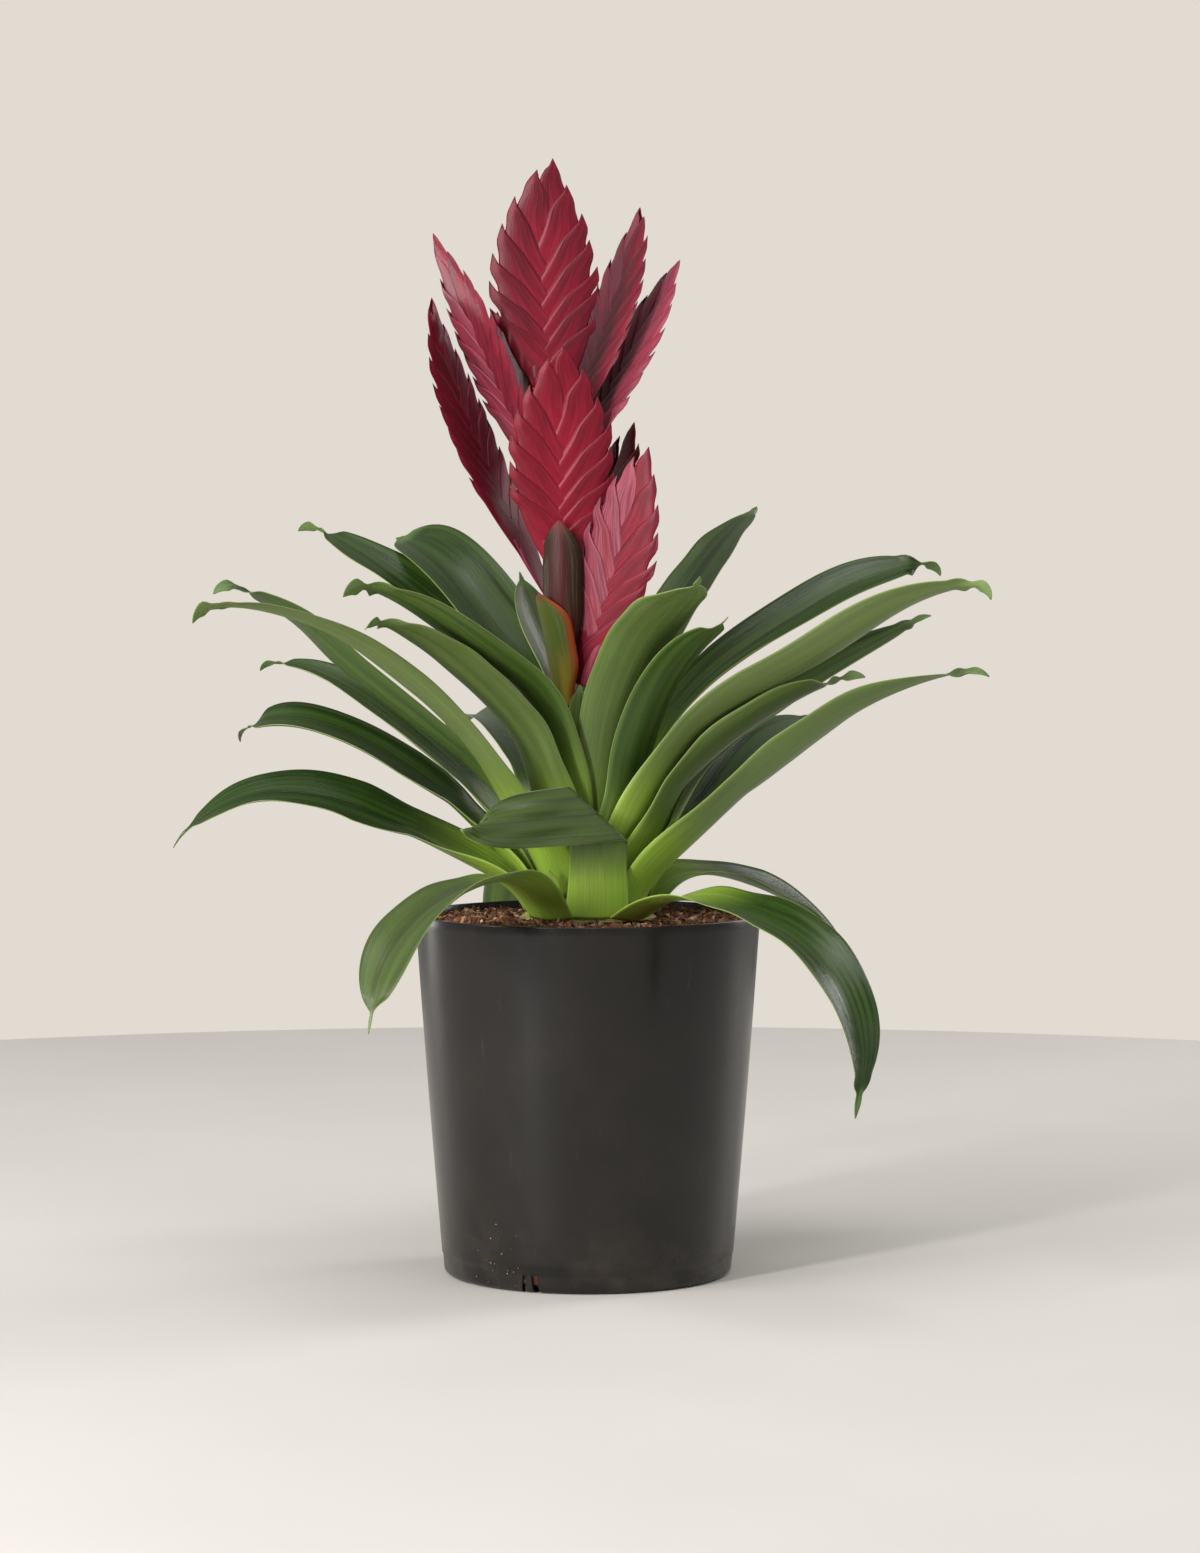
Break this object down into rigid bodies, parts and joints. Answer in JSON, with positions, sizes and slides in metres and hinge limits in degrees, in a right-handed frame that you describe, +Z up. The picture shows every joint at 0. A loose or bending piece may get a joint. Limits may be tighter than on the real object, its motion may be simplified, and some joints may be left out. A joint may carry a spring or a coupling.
{
  "type": "potted bromeliad",
  "caption": "Flowering bromeliad in a plain round black plastic grow pot: arching strap leaves around a branched spike of flat crimson bracts.",
  "frame": {"origin": "middle of the pot's flat underside, on the pot's axis", "axes": "+Z up along the pot's axis; the side with the two lowest leaves and the front flower spike faces -Y, +X to its right"},
  "size_m": [0.3574, 0.3347, 0.4906],
  "materials": {
    "pot": "satin moulded",
    "potting_mix": "coarse peat and bark",
    "stem_tissue": "matte fibrous",
    "leaf": "waxy satin, matte underneath",
    "flower_stem": "satin",
    "flower_bract": "waxy satin",
    "scape_bract": "waxy satin"
  },
  "bodies": {
    "root": {"flower_stem": "flower_stem", "leaf_back_hanging": "leaf", "leaf_back_left_hanging": "leaf", "leaf_back_left_middle": "leaf", "leaf_back_left_upper": "leaf", "leaf_back_right_hanging": "leaf", "leaf_back_right_middle": "leaf", "leaf_back_right_short": "leaf", "leaf_back_upper": "leaf", "leaf_broad_back_left": "leaf", "leaf_broad_front": "leaf", "leaf_front_folded": "leaf", "leaf_front_left_hanging": "leaf", "leaf_front_left_second": "leaf", "leaf_front_left_upper": "leaf", "leaf_front_right_hanging": "leaf", "leaf_front_right_short": "leaf", "leaf_heart_small": "leaf", "leaf_heart_upright": "leaf", "leaf_left_channelled": "leaf", "leaf_left_glossy": "leaf", "leaf_left_long": "leaf", "leaf_left_lower": "leaf", "leaf_left_middle": "leaf", "leaf_right_long": "leaf", "leaf_right_lower": "leaf", "leaf_right_shaded": "leaf", "leaf_right_short": "leaf", "leaf_right_upper": "leaf", "leaf_sprout": "leaf", "leaf_upright_back_right": "leaf", "pot": "pot", "potting_mix": "potting_mix", "scape_bract_olive": "scape_bract", "scape_bract_red_edged": "scape_bract", "spike_back": "flower_bract", "spike_front": "flower_bract", "spike_left_lower": "flower_bract", "spike_left_upper": "flower_bract", "spike_right_front": "flower_bract", "spike_right_low": "flower_bract", "spike_right_middle": "flower_bract", "spike_right_upper": "flower_bract", "spike_top": "flower_bract", "stem": "stem_tissue"}
  },
  "joints": []
}
